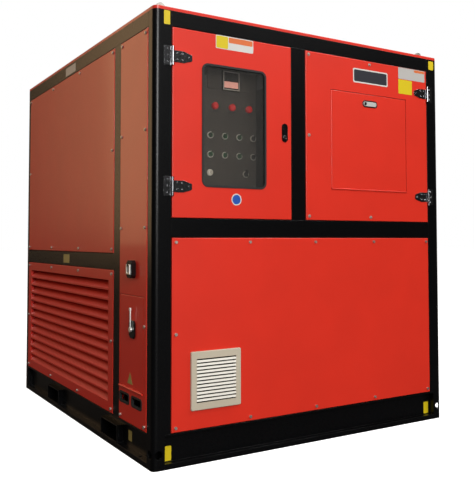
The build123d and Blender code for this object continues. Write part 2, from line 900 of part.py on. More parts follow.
# ---------------------------------------------------------------- drop-down flaps
def piano_hinge(length, radius, pin):
    """Knuckles along a flap's bottom edge, as a fixed part and a moving part.

    The axis is the origin, the second direction is up and the third is out of the panel. The
    fixed knuckles hold the pin and carry tabs down to the panel; the moving ones have tabs up.
    """
    step = length / knuckle_count
    knuckle = step - knuckle_gap
    tab_reach = flap_edge_gap + sheet
    tab_depth = radius - hinge_sink + sheet
    places = [((index - (knuckle_count - 1) / 2) * step, 0, 0) for index in range(knuckle_count)]
    with BuildPart() as fixed:
        with Locations(*places[::2]):
            Cylinder(radius, knuckle, rotation=(0, 90, 0))
            Box(knuckle, tab_reach, tab_depth, align=(Align.CENTER, Align.MAX, Align.MAX))
        Cylinder(pin, length - knuckle_gap, rotation=(0, 90, 0))
    with BuildPart() as moving:
        with Locations(*places[1::2]):
            Cylinder(radius, knuckle, rotation=(0, 90, 0))
            Box(knuckle, tab_reach, tab_depth, align=(Align.CENTER, Align.MIN, Align.MAX))
        Cylinder(pin + running_clearance, length, rotation=(0, 90, 0), mode=Mode.SUBTRACT)
    return fixed.part, moving.part


def flap_opening(region):
    """The hole for a flap, with more room at the bottom for the hinge."""
    return (
        region[0] - flap_gap,
        region[1] - 2 * flap_edge_gap,
        region[2] + flap_gap,
        region[3] + flap_gap,
    )


def flap_rim(face, region):
    """The turned-in edge round a flap's hole, with a land that the flap closes on."""
    outside = face.offset(panel_proud)
    hole = flap_opening(region)
    seat = flap_depth + door_seal_gap
    with BuildPart() as rim:
        add(slab(outside.offset(-sheet), inset(hole, -sheet), -seat))
        add(slab(outside.offset(-sheet), hole, sheet - seat), mode=Mode.SUBTRACT)
        add(slab(outside.offset(-sheet), inset(hole, flap_land), -seat), mode=Mode.SUBTRACT)
    return rim.part


# Connection door in the narrow left panel
terminal_door = (
    -mullion_front + panel_gap + connection_rear_margin,
    connection_bottom,
    inner_y - panel_gap - connection_front_margin,
    connection_top,
)
terminal_fixed, terminal_moving = piano_hinge(
    terminal_door[2] - terminal_door[0], connection_barrel_radius, connection_hinge_pin
)
terminal_axis = Plane(
    origin=(
        -half_width - panel_proud - connection_barrel_radius + hinge_sink,
        -middle(terminal_door)[0],
        connection_bottom - flap_edge_gap,
    ),
    x_dir=(0, -1, 0),
    z_dir=(-1, 0, 0),
)
side_skin = left_face.offset(panel_proud)
ports = [(inner_y - margin, port_z) for margin in port_front_margins]

with BuildPart() as service_panel:
    add(pan(left_face, narrow_region, panel_depth))
    add(slab(side_skin, flap_opening(terminal_door), -sheet), mode=Mode.SUBTRACT)
    add(flap_rim(left_face, terminal_door))
    with BuildSketch(side_skin):
        with Locations(*ports):
            RectangleRounded(port_width, port_height, port_radius)
    extrude(amount=-sheet, mode=Mode.SUBTRACT)
    with Locations(terminal_axis.location):
        add(terminal_fixed)
write(service_panel.part, "service_panel")

with BuildPart() as connection_door:
    add(pan(left_face, terminal_door, flap_depth))
    with Locations(terminal_axis.location):
        add(terminal_moving)
write(connection_door.part, "connection_door")

# Rubber bushes in the two cable ports, lipped over the sheet on the outside
with BuildPart() as cable_port_bushes:
    with BuildSketch(side_skin):
        with Locations(*ports):
            RectangleRounded(
                port_width + 2 * port_bush_lip, port_height + 2 * port_bush_lip, port_radius + port_bush_lip
            )
    extrude(amount=port_bush_lip_height)
    with BuildSketch(side_skin):
        with Locations(*ports):
            RectangleRounded(port_width, port_height, port_radius)
    extrude(amount=-port_bush_depth)
    with BuildSketch(side_skin.offset(-port_bush_depth)):
        with Locations(*ports):
            RectangleRounded(
                port_width - 2 * port_bush_wall,
                port_height - 2 * port_bush_wall,
                port_radius - port_bush_wall,
            )
    extrude(amount=port_bush_depth + port_bush_lip_height, mode=Mode.SUBTRACT)
write(cable_port_bushes.part, "cable_port_bushes")


# ---------------------------------------------------------------- side latches
def latch_base(centre, depth):
    """An eight-sided latch body standing on the side panel."""
    with BuildPart() as body:
        with BuildSketch(side_skin) as outline:
            with Locations(centre):
                Rectangle(latch_base_width, latch_base_height)
            chamfer(outline.vertices(), latch_base_chamfer)
        extrude(amount=depth)
        chamfer(body.faces().sort_by(Axis.X)[0].edges(), latch_base_edge)
    return body.part


# Ring latch above: a chrome ring turning on its round top bar, which a lug on the body holds
side_latch_y = side_latch_margin - inner_y
service_latch = (-side_latch_y, service_latch_z)
ring_plane = side_skin.offset(service_base_depth + ring_gap + ring_thickness / 2)
ring_axis = (service_latch[0], service_latch_z + ring_height / 2 - ring_thickness / 2)
with BuildPart() as service_latch_base:
    add(latch_base(service_latch, service_base_depth))
    with BuildSketch(side_skin.offset(service_base_depth)):
        with Locations(ring_axis):
            Rectangle(ring_lug_width, ring_lug_height)
    extrude(amount=ring_gap + ring_thickness + ring_lug_wall)
    with BuildSketch(Plane.XZ.offset(-side_latch_y - ring_width / 2)):
        with Locations((ring_plane.origin.X, ring_axis[1])):
            Circle(ring_thickness / 2 + running_clearance)
    extrude(amount=ring_width, mode=Mode.SUBTRACT)
write(service_latch_base.part, "service_latch_base")

with BuildPart() as service_latch_ring:
    side_bar_length = ring_height - ring_thickness / 2
    with BuildSketch(ring_plane):
        with Locations(ring_axis):
            Rectangle(ring_width, side_bar_length, align=(Align.CENTER, Align.MAX))
            Rectangle(
                ring_width - 2 * ring_bar,
                side_bar_length - ring_bar,
                align=(Align.CENTER, Align.MAX),
                mode=Mode.SUBTRACT,
            )
    extrude(amount=ring_thickness / 2, both=True)
    with BuildSketch(Plane.XZ.offset(-side_latch_y - ring_width / 2)):
        with Locations((ring_plane.origin.X, ring_axis[1])):
            Circle(ring_thickness / 2)
    extrude(amount=ring_width)
write(service_latch_ring.part, "service_latch_ring")

# Lever latch of the connection door: a rod with a knob, turning on a spindle in the body
connection_latch = (-side_latch_y, connection_latch_z)
connection_face = side_skin.offset(connection_base_depth)
with BuildPart() as connection_latch_base:
    add(latch_base(connection_latch, connection_base_depth))
    with BuildSketch(side_skin):
        with Locations(connection_latch):
            Circle(lever_spindle_radius + running_clearance)
    extrude(amount=connection_base_depth, mode=Mode.SUBTRACT)
write(connection_latch_base.part, "connection_latch_base")

lever_plane = connection_face.offset(end_float + lever_boss_height / 2)
with BuildPart() as connection_latch_lever:
    with BuildSketch(lever_plane):
        with Locations(connection_latch):
            Circle(lever_boss_radius)
    extrude(amount=lever_boss_height / 2, both=True)
    with BuildSketch(lever_plane):
        with Locations(connection_latch):
            Circle(lever_spindle_radius)
    extrude(amount=-connection_base_depth - lever_boss_height / 2)
    with Locations((lever_plane.origin.X, side_latch_y, connection_latch_z)):
        Cylinder(lever_rod_radius, lever_reach, align=(Align.CENTER, Align.CENTER, Align.MIN))
    with Locations((lever_plane.origin.X, side_latch_y, connection_latch_z + lever_reach)):
        Cylinder(lever_knob_radius, 2 * lever_knob_radius)
        knob_rims = connection_latch_lever.edges().filter_by(GeomType.CIRCLE).group_by(Axis.Z)
        chamfer(knob_rims[-1], lever_knob_edge)
write(connection_latch_lever.part, "connection_latch_lever")

# ---------------------------------------------------------------- strap hinges
hinge_x = inner_x - panel_gap / 2
hinge_lift = hinge_barrel_radius + hinge_face_gap + panel_proud
knuckle_low = strap_half_root + hinge_side_gap
knuckle_height = hinge_half_height - knuckle_low
knuckle_places = [(0, 0, side * (hinge_half_height - knuckle_height / 2)) for side in (-1, 1)]

# Both leaves are drawn for a door on the right of the pin, with the pin on the origin
with BuildPart() as hinge_leaf:
    with BuildSketch(Plane.XZ.offset(-hinge_lift)):
        with Locations((-panel_gap / 2, 0)):
            Rectangle(leaf_reach, 2 * hinge_half_height, align=(Align.MAX, Align.CENTER))
    extrude(amount=hinge_plate)
    with Locations(*knuckle_places):
        Cylinder(hinge_barrel_radius, knuckle_height)
        Box(hinge_barrel_radius, hinge_lift, knuckle_height, align=(Align.MAX, Align.MIN, Align.CENTER))
    Cylinder(hinge_pin_radius, 2 * hinge_half_height)

with BuildPart() as hinge_strap:
    with BuildSketch(Plane.XZ.offset(panel_proud - hinge_lift)) as strap_outline:
        Polygon(
            (0, -strap_half_root),
            (strap_kink, -strap_half_root),
            (strap_reach, -strap_half_tip),
            (strap_reach, strap_half_tip),
            (strap_kink, strap_half_root),
            (0, strap_half_root),
            align=None,
        )
        fillet(strap_outline.vertices().sort_by(Axis.X)[-2:], strap_tip_radius)
    extrude(amount=hinge_plate)
    Cylinder(hinge_barrel_radius, 2 * strap_half_root)
    Box(
        hinge_barrel_radius,
        hinge_lift - panel_proud,
        2 * strap_half_root,
        align=(Align.MIN, Align.MIN, Align.CENTER),
    )
    Cylinder(hinge_pin_radius + running_clearance, 2 * hinge_half_height, mode=Mode.SUBTRACT)

hinge_places = [(-hinge_x, -half_length - hinge_lift, height) for height in hinge_heights]
with BuildPart() as hinge_leaves:
    with Locations(*hinge_places):
        add(hinge_leaf.part)
    mirror(about=Plane.YZ)
write(hinge_leaves.part, "hinge_leaves")

with BuildPart() as control_door_straps:
    with Locations(*hinge_places):
        add(hinge_strap.part)
write(control_door_straps.part, "control_door_straps")
write(mirror(control_door_straps.part, about=Plane.YZ), "access_door_straps")

# ---------------------------------------------------------------- flush paddle latches
front_skin = front_face.offset(panel_proud)
flange_face = front_skin.offset(latch_flange)


def slot_block(plane, centre, size, shrink, turn, height):
    """A round-ended block on a plane, smaller than the size by the same amount all round."""
    with BuildPart() as block:
        with BuildSketch(plane):
            with Locations(centre):
                SlotOverall(size[0] - 2 * shrink, size[1] - 2 * shrink, rotation=turn)
        extrude(amount=height)
    return block.part


def pivot_pins(pivot, half_reach, radius):
    """Two pins in one line, across the top of a paddle."""
    with BuildPart() as pins:
        with Locations((pivot[0], flange_face.origin.Y + paddle_pivot_depth, pivot[1])):
            Cylinder(radius, 2 * half_reach, rotation=(0, 90, 0))
    return pins.part


def latch_cup(centre, size, turn, pivot, half_reach):
    """A cup let into the door sheet, open at the front and bored for the paddle's pins."""
    with BuildPart() as cup:
        add(slot_block(front_skin, centre, size, 0, turn, latch_flange))
        add(slot_block(front_skin, centre, size, latch_body_inset, turn, -latch_body_depth))
        add(slot_block(flange_face, centre, size, pocket_inset, turn, -pocket_depth), mode=Mode.SUBTRACT)
        add(pivot_pins(pivot, half_reach + end_float, pivot_radius + running_clearance), mode=Mode.SUBTRACT)
    return cup.part


def latch_paddle(centre, size, turn, pivot, half_reach):
    """The paddle that fills the cup's mouth, with its two pivot pins."""
    with BuildPart() as paddle:
        add(slot_block(flange_face, centre, size, pocket_inset + paddle_gap, turn, -paddle_thickness))
        add(pivot_pins(pivot, half_reach, pivot_radius))
    return paddle.part


upright = 90
level = 0
door_latch_x = mullion_left - door_latch_margin
door_latch = (door_latch_x, door_latch_z)
door_latch_size = (door_latch_length, door_latch_width)
door_pivot = (door_latch_x, door_latch_z + (door_latch_length - door_latch_width) / 2)
door_latch_layout = (door_latch, door_latch_size, upright, door_pivot, door_pivot_reach)
write(latch_cup(*door_latch_layout), "door_latch_cup")
write(latch_paddle(*door_latch_layout), "door_latch_paddle")

# ---------------------------------------------------------------- control door and window
control_region = inset(control_opening, panel_gap)
window_centre = middle(control_region)


def window_block(plane, margin, height):
    """The window's outline, larger by a margin all round, raised from a plane."""
    with BuildPart() as block:
        with BuildSketch(plane):
            with Locations(window_centre):
                RectangleRounded(
                    window_width + 2 * margin, window_height + 2 * margin, window_radius + margin
                )
        extrude(amount=height)
    return block.part


with BuildPart() as control_door:
    add(pan(front_face, control_region, door_depth))
    add(window_block(front_skin, 0, -sheet), mode=Mode.SUBTRACT)
    door_cut = slot_block(front_skin, door_latch, door_latch_size, latch_body_inset, upright, -sheet)
    add(door_cut, mode=Mode.SUBTRACT)
write(control_door.part, "control_door")
write(window_block(front_skin.offset(-sheet), window_lap, -window_thickness), "door_window")

# Rubber edging: a lip on the outer face of the door and a neck through the hole to the pane
with BuildPart() as window_seal:
    add(window_block(front_skin, seal_lip, seal_height))
    add(window_block(front_skin, 0, -sheet))
    add(window_block(front_skin.offset(-sheet), -seal_neck, sheet + seal_height), mode=Mode.SUBTRACT)
write(window_seal.part, "window_seal")

# ---------------------------------------------------------------- access door and its hatch
access_region = inset(access_opening, panel_gap)
hatch_x = middle(access_region)[0]
hatch_region = (hatch_x - hatch_width / 2, hatch_bottom, hatch_x + hatch_width / 2, hatch_top)
hatch_fixed, hatch_moving = piano_hinge(hatch_width, hatch_barrel_radius, hatch_hinge_pin)
hatch_axis = Plane(
    origin=(
        hatch_x,
        -half_length - panel_proud - hatch_barrel_radius + hinge_sink,
        hatch_bottom - flap_edge_gap,
    ),
    x_dir=(1, 0, 0),
    z_dir=(0, -1, 0),
)
with BuildPart() as access_door:
    add(pan(front_face, access_region, door_depth))
    add(slab(front_skin, flap_opening(hatch_region), -sheet), mode=Mode.SUBTRACT)
    add(flap_rim(front_face, hatch_region))
    with Locations(hatch_axis.location):
        add(hatch_fixed)
write(access_door.part, "access_door")

hatch_latch = (hatch_x, hatch_latch_z)
hatch_latch_size = (hatch_latch_length, hatch_latch_width)
hatch_pivot = (hatch_x, hatch_latch_z + hatch_pivot_rise)
hatch_latch_layout = (hatch_latch, hatch_latch_size, level, hatch_pivot, hatch_pivot_reach)
with BuildPart() as access_hatch:
    add(pan(front_face, hatch_region, flap_depth))
    with Locations(hatch_axis.location):
        add(hatch_moving)
    hatch_cut = slot_block(front_skin, hatch_latch, hatch_latch_size, latch_body_inset, level, -sheet)
    add(hatch_cut, mode=Mode.SUBTRACT)
write(access_hatch.part, "access_hatch")
write(latch_cup(*hatch_latch_layout), "hatch_latch_cup")
write(latch_paddle(*hatch_latch_layout), "hatch_latch_paddle")

# ---------------------------------------------------------------- control bay
bay_x, bay_z = window_centre
bay_region = (
    bay_x - bay_width / 2,
    bay_z - bay_height / 2,
    bay_x + bay_width / 2,
    bay_z + bay_height / 2,
)
mouth_depth = panel_depth - panel_proud + stop_thickness
bay_mouth = front_face.offset(-mouth_depth)
fascia_face = front_face.offset(-bay_depth)
bay_wall_length = bay_depth + fascia_thickness - mouth_depth
with BuildPart() as control_tray:
    add(slab(bay_mouth, control_opening, -bay_sheet))
    add(slab(bay_mouth, inset(bay_region, -bay_sheet), -bay_wall_length))
    add(slab(bay_mouth, bay_region, -bay_wall_length), mode=Mode.SUBTRACT)
write(control_tray.part, "control_tray")

# Everything on the fascia is set out from one centre line
fascia_x = bay_x + fascia_shift
meter = (fascia_x + meter_shift, bay_z + meter_rise)
blanks = [(fascia_x + shift, bay_z + meter_rise) for shift in blank_shifts]
lamps = [(fascia_x + step * lamp_pitch, bay_z + lamp_rise) for step in (-1, 0, 1)]
load_switches = [
    (fascia_x + step * switch_pitch, bay_z + rise)
    for rise in switch_row_rise
    for step in (-1.5, -0.5, 0.5, 1.5)
]
key_place = (fascia_x + key_shift, bay_z + bottom_row_rise)
mode_place = (fascia_x + mode_shift, bay_z + bottom_row_rise)
rotary_places = [*load_switches, key_place, mode_place]

with BuildPart() as control_fascia:
    add(slab(fascia_face, bay_region, -fascia_thickness))
    with BuildSketch(fascia_face):
        with Locations(*blanks):
            Rectangle(blank_width, blank_height)
    extrude(amount=blank_thickness)
    with BuildSketch(fascia_face):
        with Locations(meter):
            Rectangle(meter_body, meter_body)
        with Locations(*lamps):
            Circle(lamp_body_radius)
        with Locations(*rotary_places):
            Circle(switch_body_radius)
    extrude(amount=-fascia_thickness, mode=Mode.SUBTRACT)
write(control_fascia.part, "control_fascia")

with BuildPart() as load_meter:
    with BuildSketch(fascia_face):
        with Locations(meter):
            Rectangle(meter_size, meter_size)
    extrude(amount=meter_bezel)
    chamfer(load_meter.faces().sort_by(Axis.Y)[0].edges(), meter_edge)
    with BuildSketch(fascia_face.offset(meter_bezel)):
        with Locations(meter):
            Rectangle(meter_screen, meter_screen)
    extrude(amount=-meter_edge, mode=Mode.SUBTRACT)
    with BuildSketch(fascia_face):
        with Locations(meter):
            Rectangle(meter_body, meter_body)
    extrude(amount=-meter_body_depth)
write(load_meter.part, "load_meter")

with BuildPart() as pilot_lamps:
    with BuildSketch(fascia_face):
        with Locations(*lamps):
            Circle(lamp_radius)
    extrude(amount=lamp_height)
    chamfer(pilot_lamps.faces().group_by(Axis.Y)[0].edges(), lamp_edge)
    with BuildSketch(fascia_face):
        with Locations(*lamps):
            Circle(lamp_body_radius)
    extrude(amount=-lamp_body_depth)
write(pilot_lamps.part, "pilot_lamps")

# Chrome switch bezels: a raised ring on a floor, and a body through the fascia bored for the stem
with BuildPart() as switch_bezels:
    with BuildSketch(fascia_face):
        with Locations(*rotary_places):
            Circle(bezel_radius)
    extrude(amount=bezel_height)
    with BuildSketch(fascia_face.offset(bezel_floor)):
        with Locations(*rotary_places):
            Circle(bezel_inner_radius)
    extrude(amount=bezel_height - bezel_floor, mode=Mode.SUBTRACT)
    with BuildSketch(fascia_face):
        with Locations(*rotary_places):
            Circle(switch_body_radius)
    extrude(amount=-switch_body_depth)
    with BuildSketch(fascia_face.offset(bezel_floor)):
        with Locations(*rotary_places):
            Circle(stem_radius + running_clearance)
    extrude(amount=-stem_length, mode=Mode.SUBTRACT)
write(switch_bezels.part, "switch_bezels")

knob_seat = fascia_face.offset(bezel_floor + end_float)
knob_face = knob_seat.offset(knob_height)


def rotary_knob(centre, handle_length, handle_shift):
    """A stem and disc that turn inside the bezel, with an upright bar handle on top."""
    with BuildPart() as knob:
        with BuildSketch(knob_seat):
            with Locations(centre):
                Circle(stem_radius)
        extrude(amount=-stem_length)
        with BuildSketch(knob_seat):
            with Locations(centre):
                Circle(knob_radius)
        extrude(amount=knob_height)
        with BuildSketch(knob_face):
            with Locations((centre[0], centre[1] + handle_shift)):
                SlotOverall(handle_length, knob_grip_width, rotation=upright)
        extrude(amount=knob_grip_height)
    return knob.part


for number, centre in enumerate(load_switches, start=1):
    write(rotary_knob(centre, knob_grip_length, 0), f"load_switch_{number}")
write(rotary_knob(mode_place, mode_grip_length, mode_grip_shift), "mode_selector")

# Key switch: a plain barrel with a flat key standing in it
with BuildPart() as key_switch:
    with BuildSketch(knob_seat):
        with Locations(key_place):
            Circle(stem_radius)
    extrude(amount=-stem_length)
    with BuildSketch(knob_seat):
        with Locations(key_place):
            Circle(knob_radius)
    extrude(amount=knob_height)
    with BuildSketch(knob_face):
        with Locations(key_place):
            Rectangle(key_thickness, key_blade_width)
    extrude(amount=key_blade_length)
    with Locations((key_place[0], knob_face.origin.Y - key_blade_length, key_place[1])):
        Cylinder(key_bow_radius, key_thickness, rotation=(0, 90, 0))
        Cylinder(key_bow_radius / 3, key_thickness, rotation=(0, 90, 0), mode=Mode.SUBTRACT)
write(key_switch.part, "key_switch")

# ---------------------------------------------------------------- panel screws
def screw_rows(plane, region, columns, rows):
    """Hex heads along a panel's edges: full rows at top and bottom, only the ends between."""
    field = inset(region, screw_edge)
    across = [field[0] + (field[2] - field[0]) * step / (columns - 1) for step in range(columns)]
    heights = [field[1] + (field[3] - field[1]) * step / (rows - 1) for step in range(rows)]
    places = [(x, heights[0]) for x in across]
    places += [(x, heights[-1]) for x in across]
    places += [(x, z) for z in heights[1:-1] for x in (across[0], across[-1])]
    clear = [place for place in places if not over_terminal_door(place)]
    with BuildPart() as heads:
        with BuildSketch(plane):
            with Locations(*clear):
                RegularPolygon(screw_across / 2, 6, major_radius=False)
        extrude(amount=screw_height)
    return heads.part


def over_terminal_door(place):
    door = flap_opening(terminal_door)
    return door[0] < place[0] < door[2] and door[1] < place[1] < door[3]


rear_skin = rear_face.offset(panel_proud)
wide_panels = (side_upper_region, louvre_region)
with BuildPart() as side_heads:
    for region in wide_panels:
        add(screw_rows(side_skin, region, 4, 3))
with BuildPart() as panel_screws:
    add(side_heads.part)
    add(screw_rows(side_skin, narrow_region, 2, 5))
    mirror(about=Plane.YZ)
    for plane in (front_skin, rear_skin):
        add(screw_rows(plane, lower_panel_region, 5, 3))
    add(screw_rows(rear_skin, rear_upper_region, 5, 3))
write(panel_screws.part, "panel_screws")
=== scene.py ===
import math

import bmesh
import bpy
from mathutils import Matrix, Vector


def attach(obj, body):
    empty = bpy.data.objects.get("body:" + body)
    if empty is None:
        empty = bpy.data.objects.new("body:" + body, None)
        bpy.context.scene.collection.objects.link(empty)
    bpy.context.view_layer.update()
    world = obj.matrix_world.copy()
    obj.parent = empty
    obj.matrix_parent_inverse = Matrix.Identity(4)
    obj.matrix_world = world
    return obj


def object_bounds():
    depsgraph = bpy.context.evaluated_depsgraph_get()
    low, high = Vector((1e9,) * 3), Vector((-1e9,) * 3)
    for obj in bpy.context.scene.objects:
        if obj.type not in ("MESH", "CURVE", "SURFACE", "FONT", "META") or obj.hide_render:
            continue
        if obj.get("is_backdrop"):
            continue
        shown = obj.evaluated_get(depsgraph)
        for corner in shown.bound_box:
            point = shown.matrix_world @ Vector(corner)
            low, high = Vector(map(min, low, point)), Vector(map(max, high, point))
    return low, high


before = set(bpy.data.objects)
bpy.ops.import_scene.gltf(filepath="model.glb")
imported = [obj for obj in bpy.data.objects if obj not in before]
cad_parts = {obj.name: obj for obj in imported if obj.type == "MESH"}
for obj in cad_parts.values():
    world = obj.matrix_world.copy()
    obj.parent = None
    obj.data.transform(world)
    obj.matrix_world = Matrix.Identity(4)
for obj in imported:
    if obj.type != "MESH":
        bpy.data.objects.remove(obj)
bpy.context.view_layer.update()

# Looks of an outdoor generator load bank. Places are given in millimetres on the cabinet's faces
# and turned into metres by mm(); the front faces -Y and the connection side faces -X.
MM = 0.001
FRONT, LEFT, UP = Vector((0, -1, 0)), Vector((-1, 0, 0)), Vector((0, 0, 1))

# Faces that carry pieces: doors and panels stand 2 mm out from the frame, and the skid is set back
DOOR_Y, FRAME_Y, BASE_Y = -1012.0, -1010.0, -978.0
PANEL_X, FRAME_X, BASE_X = -872.0, -870.0, -838.0
# A label's ground, and the thinner coloured fields on it
LABEL_THICK, FIELD_THICK = 0.5, 0.1
FIELD_Y = DOOR_Y - LABEL_THICK


def mm(*values):
    return Vector([value * MM for value in values])


# ------------------------------------------------------------------ materials
def linear(hex_colour):
    """Linear RGBA from an sRGB hex colour."""
    channels = [int(hex_colour[i : i + 2], 16) / 255 for i in (1, 3, 5)]
    return (*[c / 12.92 if c <= 0.04045 else ((c + 0.055) / 1.055) ** 2.4 for c in channels], 1)


def add_node(tree, kind, inputs=None, **settings):
    """A shader or geometry node with its settings, and its inputs as values or as sockets to link."""
    node = tree.nodes.new(kind)
    for name, value in settings.items():
        setattr(node, name, value)
    for name, value in (inputs or {}).items():
        if isinstance(value, bpy.types.NodeSocket):
            tree.links.new(value, node.inputs[name])
        else:
            node.inputs[name].default_value = value
    return node


def blank_material(name):
    """A new material with its node tree, shader, output and Object coordinates."""
    made = bpy.data.materials.new(name)
    made.use_nodes = True
    made.node_tree.nodes.clear()
    tree = made.node_tree
    shader = add_node(tree, "ShaderNodeBsdfPrincipled")
    output = add_node(tree, "ShaderNodeOutputMaterial", {"Surface": shader.outputs["BSDF"]})
    place = add_node(tree, "ShaderNodeTexCoord").outputs["Object"]
    return made, tree, shader, output, place


def noise(tree, place, size_mm, detail=2.0, stretch=(1, 1, 1)):
    """Noise whose features are about size_mm across, drawn out along an axis by the stretch."""
    scaled = add_node(tree, "ShaderNodeMapping", {"Vector": place, "Scale": stretch})
    return add_node(
        tree,
        "ShaderNodeTexNoise",
        {"Vector": scaled.outputs["Vector"], "Scale": 1 / (size_mm * MM), "Detail": detail},
    )


def ramp(tree, factor, low, high, low_at=0.3, high_at=0.7):
    """Maps a noise to a range of values, clamped."""
    return add_node(
        tree,
        "ShaderNodeMapRange",
        {"Value": factor, "From Min": low_at, "From Max": high_at, "To Min": low, "To Max": high},
    ).outputs["Result"]


def surface(name, colour, roughness, metallic=0.0, ior=1.5, edge_mm=0.6, grain_mm=1.5, grain=0.02,
            tone=0.08, tone_mm=180.0, rough_spread=0.05, stretch=(1, 1, 1), coat=0.0):
    """An opaque finish: a slightly uneven colour and gloss, a fine relief, and softened edges.

    Patches of colour are tone_mm across and vary by tone either way. The relief is grain mm deep
    and grain_mm across, and edges look rounded by edge_mm.
    """
    made, tree, shader, _, place = blank_material(name)
    base = Vector(linear(colour)[:3])
    patches = noise(tree, place, tone_mm, 3.0)
    mix = add_node(
        tree,
        "ShaderNodeMix",
        {
            "Factor": ramp(tree, patches.outputs["Fac"], 0.0, 1.0),
            6: (*(base * (1 - tone)), 1),
            7: (*(base * (1 + tone)), 1),
        },
        data_type="RGBA",
    )
    tree.links.new(mix.outputs[2], shader.inputs["Base Color"])
    fine = noise(tree, place, grain_mm, 2.0, stretch)
    gloss = ramp(tree, fine.outputs["Fac"], roughness - rough_spread, roughness + rough_spread)
    tree.links.new(gloss, shader.inputs["Roughness"])
    rounded = add_node(tree, "ShaderNodeBevel", {"Radius": edge_mm * MM}, samples=4)
    relief = add_node(
        tree,
        "ShaderNodeBump",
        {
            "Strength": 1.0,
            "Distance": grain * MM,
            "Height": fine.outputs["Fac"],
            "Normal": rounded.outputs["Normal"],
        },
    )
    tree.links.new(relief.outputs["Normal"], shader.inputs["Normal"])
    shader.inputs["Metallic"].default_value = metallic
    shader.inputs["IOR"].default_value = ior
    shader.inputs["Coat Weight"].default_value = coat
    shader.inputs["Coat Roughness"].default_value = 0.08
    return made


# Polyester powder coat: an even red with a faint orange peel that breaks up reflections
RED = surface(
    "red_powder_coat", "#D02A18", 0.36, edge_mm=1.2, grain_mm=2.6, grain=0.008, tone=0.03, coat=0.15
)
# The same coat in black on the frame tube, where the rounded edges catch a thin line of light
BLACK = surface(
    "black_powder_coat", "#040405", 0.30, ior=1.33, edge_mm=2.5, grain_mm=2.4, grain=0.008, tone=0.10
)
# Moulded polypropylene of the filter vent: warm ivory, matt, with softly rounded slats
VENT = surface(
    "ivory_polypropylene", "#B7AC98", 0.55, edge_mm=0.9, grain_mm=0.8, grain=0.012, tone=0.04
)
# The slats' tilted faces, the same polypropylene as the frame but painted lighter than the frame round
# them: a painted highlight where they catch the light
SLAT = surface(
    "polypropylene_painted_highlight", "#E4E0D5", 0.5, edge_mm=0.6, grain_mm=0.8, grain=0.01, tone=0.03
)
# Filter fleece behind the slots, coloured near black as painted shade in the slots; fibrous
FLEECE = surface("filter_fleece_painted_shade", "#171613", 0.95, grain_mm=0.7, grain=0.5, tone=0.12, tone_mm=12)
# Chrome plate on the die-cast hinges: a sharp grey mirror with thin highlights on its edges
CHROME = surface(
    "chrome_plate", "#8C8D90", 0.20, metallic=1, edge_mm=0.8, grain_mm=6, grain=0.01, tone=0.02,
    rough_spread=0.04
)
# Satin nickel of bezels, key barrel and latch metal: rough enough to look pale from every side
NICKEL = surface(
    "satin_nickel", "#F0EFEA", 0.5, metallic=1, edge_mm=0.6, grain_mm=3, grain=0.004, tone=0.03
)
# Zinc plate on screws and lifting eyes: a duller, slightly warm metal
ZINC = surface(
    "zinc_plate", "#BDB8B0", 0.48, metallic=1, edge_mm=0.5, grain_mm=2, tone=0.12, tone_mm=6
)
# Hot-dip galvanised sheet inside, with large soft spangles
GALVANISED = surface(
    "galvanised_sheet", "#8E9296", 0.42, metallic=1, grain_mm=14, grain=0.01, tone=0.22, tone_mm=16
)
# Stove-enamelled fascia of the control bay: dark warm grey, almost matt
FASCIA = surface(
    "grey_fascia_enamel", "#35322F", 0.5, edge_mm=0.5, grain_mm=1.2, grain=0.015, tone=0.06
)
# Glossy black moulded plastic of latch bodies, meter case and knobs
BLACK_PLASTIC = surface(
    "black_nylon", "#0B0B0C", 0.2, edge_mm=0.6, grain_mm=0.6, grain=0.01, tone=0.1
)
# Deep green acrylic of six load switches, under a clear gloss
GREEN_CAP = surface(
    "green_acrylic_cap", "#0C4A2C", 0.18, edge_mm=0.5, grain_mm=3, grain=0.004, tone=0.08, coat=0.4
)
# Black EPDM rubber of seals and bushes: a soft matt black without reflections
RUBBER = surface(
    "black_epdm_rubber", "#141414", 0.72, edge_mm=0.8, grain_mm=0.9, grain=0.02, tone=0.15
)
# Red polycarbonate lamp lenses, clear-coated so they glint
LENS = surface(
    "red_polycarbonate", "#E02226", 0.2, edge_mm=0.7, grain_mm=4, grain=0.01, tone=0.15, tone_mm=8,
    coat=0.6
)
# Electrolytic copper bars, dulled by handling and drawn lengthwise
COPPER = surface(
    "copper_bar", "#B87350", 0.33, metallic=1, grain_mm=1.2, grain=0.01, tone=0.15, tone_mm=25,
    stretch=(1, 1, 0.05)
)
# Resistance alloy strip with heat tints from blue-grey to straw
ALLOY = surface("resistance_alloy", "#A3988A", 0.42, metallic=1, grain_mm=1, tone=0.3, tone_mm=60)
# Die-cast aluminium fan wheels: a pale, softly shining grey
CAST_ALUMINIUM = surface(
    "cast_aluminium", "#A7AAAD", 0.48, metallic=1, grain_mm=1.4, grain=0.03, tone=0.08
)
# Grey machine enamel on the cast motor housings, satin over a coarse casting
MOTOR_GREY = surface("grey_machine_enamel", "#4A5257", 0.45, edge_mm=2, grain_mm=2.4, grain=0.03)
# Thermoset housings of the contactors: plain dark grey, matt
THERMOSET = surface("grey_thermoset", "#4C4E51", 0.55, edge_mm=0.8, grain_mm=0.7)
# Pale grey polycarbonate trim of the panel meter, a light frame round the screen
TRIM = surface(
    "pale_grey_trim", "#A9A6A3", 0.4, edge_mm=0.4, grain_mm=1, grain=0.003, tone=0.02
)


def vinyl(name, colour, roughness=0.38, tone=0.03):
    """Satin vinyl of the bare label plates, very even and smooth."""
    return surface(name, colour, roughness, edge_mm=0.2, grain_mm=1, grain=0.003, tone=tone)
